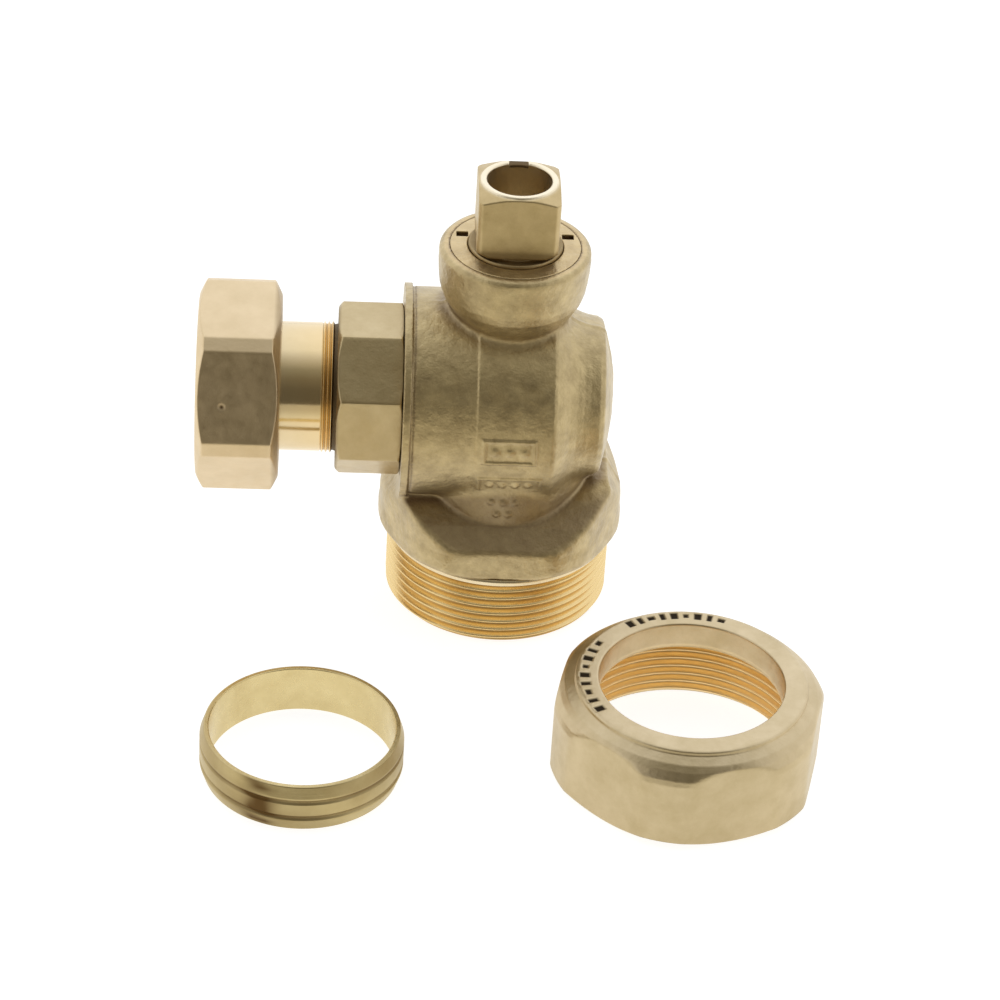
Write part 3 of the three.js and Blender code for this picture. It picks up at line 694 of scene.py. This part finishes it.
def make_compression_nut(material):
    across, corner, height, face = 39.5, 20.93, 16.0, 17.4
    collar_low = height - 4.4
    outside = [
        (18.3, 0), (19.4, 0), (19.75, 0.15), (corner, 1.0), (corner, 11.6), (20.7, 12.5), (20.0, 13.7),
        (19.2, 14.5), (18.2, 15.05), (17.75, 15.3), (17.65, 15.8), (17.45, height),
    ]
    rows = polygon_rows(outside, 6, across, 0.0, 0.22, 0.35)
    angle = np.arange(FINE_SIDES) / FINE_SIDES * 2 * math.pi
    for radius in np.arange(face - 0.25, TUBE_RADIUS + 0.3, -0.12):
        stamp = nut_stamps((angle + NUT_TURN) % (2 * math.pi), radius)
        z = height - STAMP_DEPTH * stamp
        rows.append(np.stack([radius * np.cos(angle), radius * np.sin(angle), z], axis=-1))
    more = spin_list([
        (TUBE_RADIUS + 0.2, height), (TUBE_RADIUS + 0.05, height - 0.08), (TUBE_RADIUS, height - 0.25),
        (TUBE_RADIUS, height - 0.4),
        *rows_between((TUBE_RADIUS, height - 0.5), (TUBE_RADIUS, collar_low), 0.8),
        (TUBE_RADIUS, collar_low), (TUBE_RADIUS + 0.1, collar_low - 0.05),
        (M36["minor"] + 0.1, collar_low - 1.35),
    ])
    more += thread_rows(M36, collar_low - 1.45, 0.55, 0.1, 0.15, 0.6)
    more += spin_list([(M36["major"] + 0.15, 0.3), (18.25, 0.02)])

    def stain_and_shade(radius, angle, z):
        stamp = nut_stamps((angle + NUT_TURN) % (2 * math.pi), radius) * (z > height - 0.2)
        return stamp

    def cut(radius, angle, z):
        return np.clip((18.2 - radius) * 3, 0, 1) * np.clip((collar_low + 0.2 - z) * 3, 0, 1)

    marks = {"stain_and_shade": stain_and_shade, "cut": cut}
    rest = ("compression_nut", "compression_nut", "satin_brass", material)
    return closed_grid("compression_nut_fine", rows + more, place_nut, *rest, marks=marks)


def make_olive(material):
    height, edge, belly = 7.9, 14.95, 15.5
    profile = [(TUBE_RADIUS + 0.1, 0), (edge - 0.1, 0), (edge, 0.12), (15.2, 0.9), (belly, 1.8)]
    for groove in (2.5, 5.4):
        profile += [
            (belly, groove - 0.45), (15.3, groove - 0.22), (15.22, groove), (15.3, groove + 0.22),
            (belly, groove + 0.45),
        ]
    profile += [
        (belly, height - 1.8), (15.2, height - 0.9), (edge, height - 0.12), (edge - 0.1, height),
        (TUBE_RADIUS + 0.1, height), (TUBE_RADIUS, height - 0.1), (TUBE_RADIUS, height / 2),
        (TUBE_RADIUS, 0.1),
    ]

    def stain_and_shade(radius, angle, z):
        outside = np.clip((radius - 14.6) * 3, 0, 1)
        groove = np.exp(-((z - 2.5) / 0.35) ** 2) + np.exp(-((z - 5.4) / 0.35) ** 2)
        drift = 0.5 + 0.5 * np.sin(3 * angle + 0.8 * np.sin(5 * angle) + 0.5 * z)
        smudge = np.exp(-((angle + 2.0) / 0.16) ** 2) * (0.6 + 0.4 * np.sin(7 * angle + 3 * z))
        inner = (radius < 14.5) * np.exp(-(((angle - 1.57) * 14.15) ** 2 + (z - 5.2) ** 2) / 0.22)
        inner = np.maximum(inner, 0.1 * (radius < 14.5))
        return outside * np.clip(0.30 + 0.3 * groove + 0.2 * drift + 0.7 * smudge, 0, 1) + 0.9 * inner

    rows = list(spin(round_corners(profile, 0.12, 2), 480))
    rest = ("olive", "olive", "turned_brass", material)
    return closed_grid("olive_fine", rows, place_olive, *rest, marks={
        "stain_and_shade": stain_and_shade, "cut": lambda r, a, z: 0.1 * np.clip((14.5 - r) * 5, 0, 1),
    })


# ---------------------------------------------------------------- materials
def new_material(name):
    material = bpy.data.materials.new(name)
    material.use_nodes = True
    nodes, links = material.node_tree.nodes, material.node_tree.links
    return material, nodes, links, nodes["Principled BSDF"]


def noise(nodes, links, vector, scale, detail=3.0, rough=0.55):
    node = nodes.new("ShaderNodeTexNoise")
    node.inputs["Scale"].default_value = scale
    node.inputs["Detail"].default_value = detail
    node.inputs["Roughness"].default_value = rough
    links.new(vector, node.inputs["Vector"])
    return node.outputs["Fac"]


def ramp(nodes, links, value, stops):
    node = nodes.new("ShaderNodeValToRGB")
    elements = node.color_ramp.elements
    while len(elements) < len(stops):
        elements.new(0.5)
    for element, (place, color) in zip(elements, stops):
        element.position = place
        element.color = (*color, 1.0)
    links.new(value, node.inputs["Fac"])
    return node.outputs["Color"]


def grey_ramp(nodes, links, value, stops):
    return ramp(nodes, links, value, [(place, (level,) * 3) for place, level in stops])


def bump(nodes, links, height, distance, strength, before=None):
    node = nodes.new("ShaderNodeBump")
    node.inputs["Distance"].default_value = distance
    node.inputs["Strength"].default_value = strength
    links.new(height, node.inputs["Height"])
    if before is not None:
        links.new(before, node.inputs["Normal"])
    return node.outputs["Normal"]


def object_vector(nodes, links, scale=(1.0, 1.0, 1.0)):
    place = nodes.new("ShaderNodeTexCoord")
    mapping = nodes.new("ShaderNodeMapping")
    mapping.inputs["Scale"].default_value = scale
    links.new(place.outputs["Object"], mapping.inputs["Vector"])
    return mapping.outputs["Vector"]


def mixed(nodes, links, factor, color, other):
    mix = nodes.new("ShaderNodeMix")
    mix.data_type = "RGBA"
    links.new(factor, mix.inputs["Factor"])
    links.new(color, mix.inputs["A"])
    mix.inputs["B"].default_value = (*other, 1)
    return mix.outputs["Result"]


def attribute(nodes, name):
    node = nodes.new("ShaderNodeAttribute")
    node.attribute_name = name
    return node.outputs["Fac"]


def brass(name, dark, light, rough, grain, grain_scale, lines=0.0, line_axis=2, cut_and_highlight_color=(0.9, 0.66, 0.32),
          stain_and_shade_color=(0.13, 0.08, 0.035), cloud_scale=170.0, film=0.0):
    """Brass: two tones clouded together, freshly cut places and painted highlights in the cut colour,
    stained places and painted shade in the stain colour, roughness that varies, a fine grain over a coarser
    one, fine turning lines across line_axis, and a thin clear film."""
    material, nodes, links, shader = new_material(name)
    vector = object_vector(nodes, links)
    cloud = noise(nodes, links, vector, cloud_scale, 5.0, 0.65)
    color = ramp(nodes, links, cloud, [(0.32, dark), (0.68, light)])
    # the cut colour marks freshly cut metal, and inside the stem's hole it is also a painted reflection
    color = mixed(nodes, links, attribute(nodes, "cut"), color, cut_and_highlight_color)
    # the stain colour marks real stains and stamps, and painted shade in hollows, slots, thread roots and
    # joints
    color = mixed(nodes, links, attribute(nodes, "stain_and_shade"), color, stain_and_shade_color)
    links.new(color, shader.inputs["Base Color"])
    shader.inputs["Metallic"].default_value = 1.0
    blotch = noise(nodes, links, vector, 520.0, 3.0, 0.6)
    roughness = grey_ramp(nodes, links, blotch, [(0.25, rough * 0.82), (0.75, rough * 1.18)])
    roughness = mixed(nodes, links, attribute(nodes, "stain_and_shade"), roughness, (0.6, 0.6, 0.6))
    links.new(roughness, shader.inputs["Roughness"])
    normal = bump(nodes, links, noise(nodes, links, vector, grain_scale * 0.35, 2.0, 0.6), 0.0002, grain)
    normal = bump(nodes, links, noise(nodes, links, vector, grain_scale, 2.0, 0.6), 0.00008, grain, normal)
    if lines:
        scale = [60.0, 60.0, 60.0]
        scale[line_axis] = 5200.0
        streaks = noise(nodes, links, object_vector(nodes, links, scale), 1.0, 3.0, 0.7)
        normal = bump(nodes, links, streaks, 0.00003, lines, normal)
    links.new(normal, shader.inputs["Normal"])
    links.new(normal, shader.inputs["Coat Normal"])
    shader.inputs["Coat Weight"].default_value = film
    shader.inputs["Coat Roughness"].default_value = 0.45
    shader.inputs["Coat IOR"].default_value = 1.8
    return material


def plain(name, dark, light, rough, grain_scale, grain):
    material, nodes, links, shader = new_material(name)
    vector = object_vector(nodes, links)
    cloud = noise(nodes, links, vector, 300.0, 3.0)
    links.new(ramp(nodes, links, cloud, [(0.3, dark), (0.7, light)]), shader.inputs["Base Color"])
    shader.inputs["Roughness"].default_value = rough
    normal = bump(nodes, links, noise(nodes, links, vector, grain_scale), 0.0001, grain)
    links.new(normal, shader.inputs["Normal"])
    return material


# The brown given for stains colours the painted shade and oxide of the body and the gland ring.
forged = brass(
    "forged_brass_look", (0.40, 0.29, 0.115), (0.61, 0.47, 0.22), 0.46, 0.6, 2400.0,
    stain_and_shade_color=(0.19, 0.105, 0.035), cloud_scale=380.0, film=0.9,
)
satin = brass("satin_brass_look", (0.70, 0.55, 0.34), (0.78, 0.62, 0.40), 0.36, 0.12, 2400.0, 0.25, 0)
connector_look = brass(
    "connector_brass_look", (0.51, 0.395, 0.215), (0.60, 0.48, 0.28), 0.34, 0.2, 2400.0, 0.2, 0,
)
# Its pale cut colour also lightens the inside of the stem's hole as a painted reflection.
stem_look = brass(
    "stem_brass_look", (0.50, 0.38, 0.19), (0.62, 0.48, 0.26), 0.38, 0.2, 2400.0, 0.2, 2,
    cut_and_highlight_color=(0.95, 0.84, 0.64),
)
nut_look = brass(
    "nut_brass_look", (0.57, 0.455, 0.27), (0.68, 0.555, 0.36), 0.36, 0.2, 2400.0, 0.15, 2,
    cut_and_highlight_color=(0.98, 0.74, 0.38), stain_and_shade_color=(0.03, 0.02, 0.01),
)
bright = brass("bright_brass_look", (0.70, 0.57, 0.36), (0.76, 0.63, 0.42), 0.13, 0.02, 3000.0, 0.2, 0)
# Its orange-brown stain colour darkens the inlet thread's roots as painted shade.
thread_look = brass(
    "cut_thread_look", (0.80, 0.66, 0.42), (0.88, 0.74, 0.50), 0.26, 0.06, 3000.0, 0.2, 2,
    cut_and_highlight_color=(0.88, 0.66, 0.32), stain_and_shade_color=(0.45, 0.25, 0.07),
)
olive_look = brass(
    "olive_brass_look", (0.70, 0.56, 0.28), (0.84, 0.70, 0.38), 0.25, 0.05, 3000.0, 0.25, 2,
    cut_and_highlight_color=(0.92, 0.76, 0.40), stain_and_shade_color=(0.16, 0.09, 0.03),
)
chrome = brass("polished_chrome_look", (0.80, 0.81, 0.82), (0.86, 0.87, 0.88), 0.08, 0.01, 3000.0)
white_ptfe = plain("white_ptfe_look", (0.82, 0.81, 0.77), (0.90, 0.89, 0.86), 0.45, 2000.0, 0.1)
black_rubber = plain("black_rubber_look", (0.012, 0.012, 0.013), (0.03, 0.03, 0.03), 0.6, 2500.0, 0.25)
grey_fibre = plain("grey_fibre_look", (0.13, 0.14, 0.13), (0.24, 0.25, 0.23), 0.85, 1500.0, 0.5)

# ---------------------------------------------------------------- pieces
make_body(forged)
make_inlet_thread(thread_look)
make_stem(stem_look)
make_gland_ring(forged)
make_ball(chrome)
make_union_nut(satin)
make_connector(connector_look)
make_tail(bright)
make_compression_nut(nut_look)
make_olive(olive_look)

WASHERS = {
    "thrust_washer": (5.3, 9.7, 56.7, 57.5, place_valve, white_ptfe, "white_ptfe"),
    "slip_washer": (7.6, 9.7, 59.7, 60.3, place_valve, white_ptfe, "white_ptfe"),
    "tail_seal": (8.6, 10.5, 18.2, 19.2, place_outlet, grey_fibre, "grey_fibre"),
    "union_gasket": (8.5, 11.6, 41.9, 43.9, place_outlet, black_rubber, "black_rubber"),
}
for node, (inner, outer, low, high, place, material, slot_name) in WASHERS.items():
    profile = [(inner, low), (outer, low), (outer, high), (inner, high)]
    turned_piece(node + "_fine", profile, place, "valve", node, slot_name, material)


def rubber_ring(node, inner, outer, centre, place, body):
    half = (outer - inner) / 2
    turns = np.arange(24) / 24 * 2 * math.pi
    profile = np.stack([inner + half + half * np.cos(turns), centre + half * np.sin(turns)], axis=-1)
    points = place(spin(profile, 128))
    quads = ring_faces(points.shape[0], points.shape[1])
    make_object(node + "_fine", points.reshape(-1, 3), quads, body, node, "black_rubber", black_rubber)


rubber_ring("stem_o_ring_lower", 3.9, 5.1, 51.9, place_valve, "stem_and_ball")
rubber_ring("stem_o_ring_upper", 3.9, 5.1, 54.6, place_valve, "stem_and_ball")
rubber_ring("body_seal_ring", 11.75, 13.4, 15.65, place_outlet, "valve")
HOLLOW = 11.55  # radius of the seats' hollow faces
for seat, ring, place in (
    ("outlet_seat", "outlet_seat_ring", place_outlet),
    ("rear_seat", "rear_seat_ring", place_rear),
):
    start, end = math.asin(7.8 / HOLLOW), math.acos(6.1 / HOLLOW)
    curve = [(HOLLOW * math.sin(a), HOLLOW * math.cos(a)) for a in np.linspace(start, end, 9)]
    profile = [*curve, (11.6, 6.1), (11.6, 9.1), (10.2, 9.1), (10.2, 10.3), (7.8, 10.3)]
    turned_piece(seat + "_fine", profile, place, "valve", seat, "white_ptfe", white_ptfe, radius=0.1)
    rubber_ring(ring, 10.6, 11.6, 9.7, place, "valve")

# ---------------------------------------------------------------- camera, floor and light
CAMERA_ELEVATION = math.radians(34.45)
CAMERA_AZIMUTH = math.radians(3.49)  # the valve stands turned by this, seen from above
CAMERA_ROLL = math.radians(3.654)
CAMERA_DISTANCE = 592.4
CAMERA_TARGET = Vector((0.09, -0.02, 15.55))
LENS = 131.8


def make_camera():
    turn = Matrix.Rotation(-CAMERA_AZIMUTH, 3, "Z")
    ahead = turn @ Vector((0, math.cos(CAMERA_ELEVATION), -math.sin(CAMERA_ELEVATION)))
    right = turn @ Vector((1, 0, 0))
    up = right.cross(ahead)
    c, s = math.cos(CAMERA_ROLL), math.sin(CAMERA_ROLL)
    image_right, image_up = right * c + up * s, up * c - right * s
    data = bpy.data.cameras.new("camera")
    data.sensor_width = 36.0
    data.lens = LENS
    camera = bpy.data.objects.new("camera", data)
    bpy.context.scene.collection.objects.link(camera)
    place = CAMERA_TARGET - ahead * CAMERA_DISTANCE + Vector((VALVE_AXIS.x, VALVE_AXIS.y, 0))
    matrix = Matrix((image_right, image_up, -ahead)).transposed().to_4x4()
    matrix.translation = place * MM
    camera.matrix_world = matrix
    data.clip_start, data.clip_end = 0.01, 50.0
    bpy.context.scene.camera = camera


def make_floor():
    size, level = 3.0, -0.0002
    mesh = bpy.data.meshes.new("floor")
    corners = [(-size, -size, level), (size, -size, level), (size, size, level), (-size, size, level)]
    mesh.from_pydata(corners, [], [(0, 1, 2, 3)])
    floor = bpy.data.objects.new("floor", mesh)
    bpy.context.scene.collection.objects.link(floor)
    material, nodes, links, shader = new_material("pale_floor")
    shader.inputs["Base Color"].default_value = (0.4, 0.4, 0.4, 1)
    shader.inputs["Roughness"].default_value = 0.9
    shader.inputs["Specular IOR Level"].default_value = 0.0
    shader.inputs["Emission Strength"].default_value = 1.0
    place = nodes.new("ShaderNodeTexCoord")
    split = nodes.new("ShaderNodeSeparateXYZ")
    links.new(place.outputs["Object"], split.inputs["Vector"])
    share = nodes.new("ShaderNodeMapRange")
    share.inputs["From Min"].default_value = -0.2
    share.inputs["From Max"].default_value = 0.0
    links.new(split.outputs["Y"], share.inputs["Value"])
    sheet = ramp(nodes, links, share.outputs["Result"], [
        (0.0, (0.28, 0.24, 0.14)), (0.4, (0.36, 0.33, 0.22)), (0.62, (0.50, 0.48, 0.37)),
        (0.8, (0.74, 0.73, 0.66)), (0.95, (0.8, 0.8, 0.78)),
    ])
    paths = nodes.new("ShaderNodeLightPath")
    glow = mixed(nodes, links, paths.outputs["Is Camera Ray"], sheet, (0.85, 0.85, 0.85))
    links.new(glow, shader.inputs["Emission Color"])
    mesh.materials.append(material)
    floor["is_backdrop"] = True


def make_world():
    """White studio all round, with the dim room on the side the picture is taken from."""
    world = bpy.data.worlds.new("studio")
    bpy.context.scene.world = world
    world.use_nodes = True
    nodes, links = world.node_tree.nodes, world.node_tree.links
    background = nodes["Background"]
    place = nodes.new("ShaderNodeTexCoord")
    split = nodes.new("ShaderNodeSeparateXYZ")
    links.new(place.outputs["Generated"], split.inputs["Vector"])

    def math_node(operation, a, b=None, c=None):
        node = nodes.new("ShaderNodeMath")
        node.operation = operation
        for socket, value in zip(node.inputs, (a, b, c)):
            if value is None:
                continue
            if isinstance(value, (int, float)):
                socket.default_value = value
            else:
                links.new(value, socket)
        return node.outputs[0]

    toward = math_node("MULTIPLY", split.outputs["Y"], -1.0)
    around = math_node("ARCTAN2", split.outputs["Z"], toward)
    share = math_node("MULTIPLY_ADD", around, 1 / (2 * math.pi), 0.5)

    def at(degrees):
        return degrees / 360 + 0.5

    stops = [
        (at(-20), (0.62, 0.62, 0.56)), (at(-4), (0.125, 0.112, 0.085)), (at(26), (0.135, 0.12, 0.09)),
        (at(45), (0.20, 0.18, 0.135)), (at(62), (0.31, 0.30, 0.25)), (at(72), (0.48, 0.47, 0.42)),
        (at(86), (0.72, 0.73, 0.73)), (at(100), (1.02, 1.05, 1.08)), (at(130), (1.12, 1.15, 1.2)),
    ]
    meridian = ramp(nodes, links, share, stops)
    side = grey_ramp(nodes, links, math_node("ABSOLUTE", split.outputs["X"]), [(0.45, 0.0), (0.8, 1.0)])
    mix = nodes.new("ShaderNodeMix")
    mix.data_type = "RGBA"
    links.new(side, mix.inputs["Factor"])
    links.new(meridian, mix.inputs["A"])
    mix.inputs["B"].default_value = (0.95, 0.95, 0.93, 1)
    paths = nodes.new("ShaderNodeLightPath")
    seen = nodes.new("ShaderNodeMix")
    seen.data_type = "RGBA"
    links.new(paths.outputs["Is Camera Ray"], seen.inputs["Factor"])
    links.new(mix.outputs["Result"], seen.inputs["A"])
    seen.inputs["B"].default_value = (1, 1, 1, 1)
    links.new(seen.outputs["Result"], background.inputs["Color"])
    background.inputs["Strength"].default_value = 1.0


make_camera()
make_floor()
make_world()
bpy.context.scene.view_settings.view_transform = "Standard"

low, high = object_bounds()
